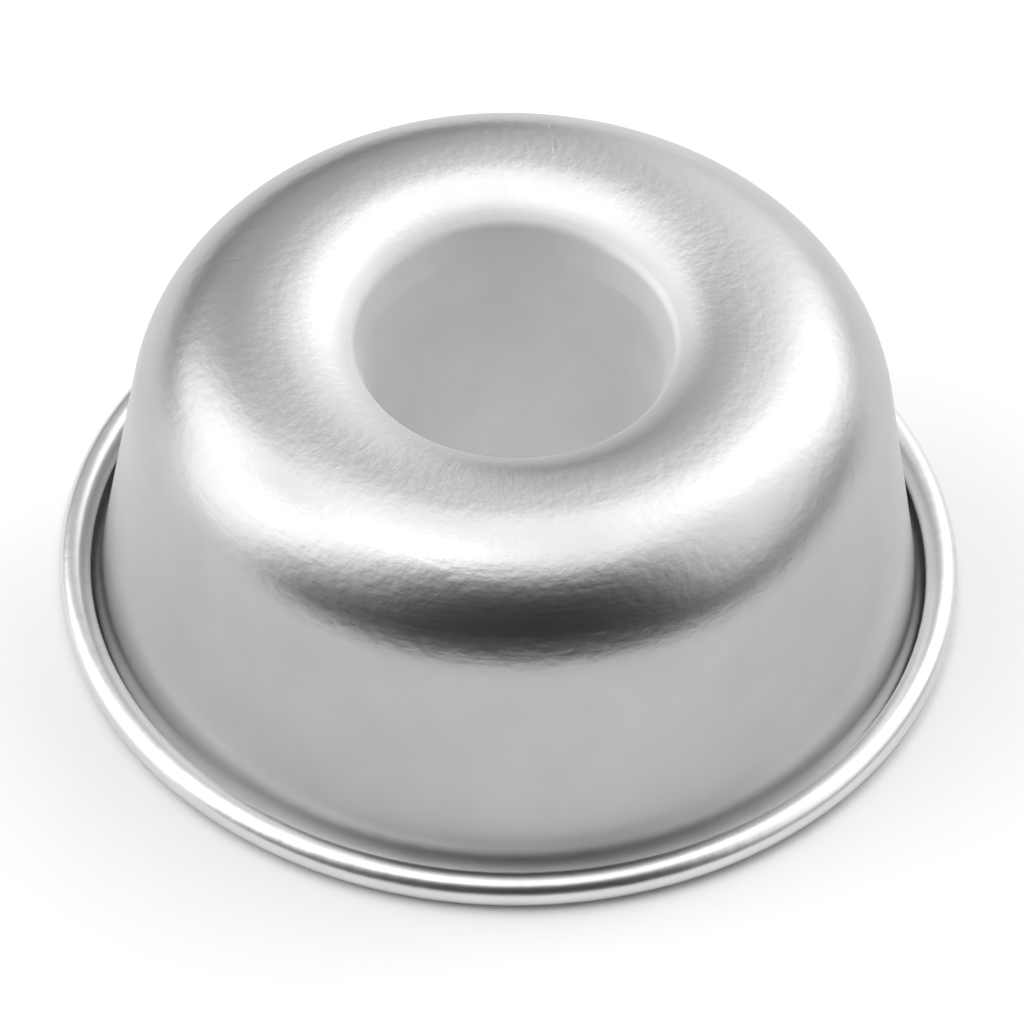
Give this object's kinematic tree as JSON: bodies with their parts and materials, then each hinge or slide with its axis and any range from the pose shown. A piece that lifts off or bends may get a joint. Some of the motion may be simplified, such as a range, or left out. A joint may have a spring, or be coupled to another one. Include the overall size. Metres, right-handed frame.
{
  "type": "ring cake pan",
  "caption": "Small smooth ring cake pan standing upside down: tapered wall, full round crown dished to a lip, open centre tube and a rolled rim.",
  "frame": {"origin": "centre of the plane that the rolled rim stands on, with the pan upside down as in the picture", "axes": "+Z along the pan's axis of revolution, from the rim's plane to the crown; the pan is round, so X and Y are free"},
  "size_m": [0.1, 0.1, 0.0393],
  "materials": {
    "pan_shell": "satin anodised, drawn and rolled",
    "rim_wire": "galvanised wire"
  },
  "bodies": {
    "root": {"pan_shell": "pan_shell", "rim_wire": "rim_wire"}
  },
  "joints": []
}
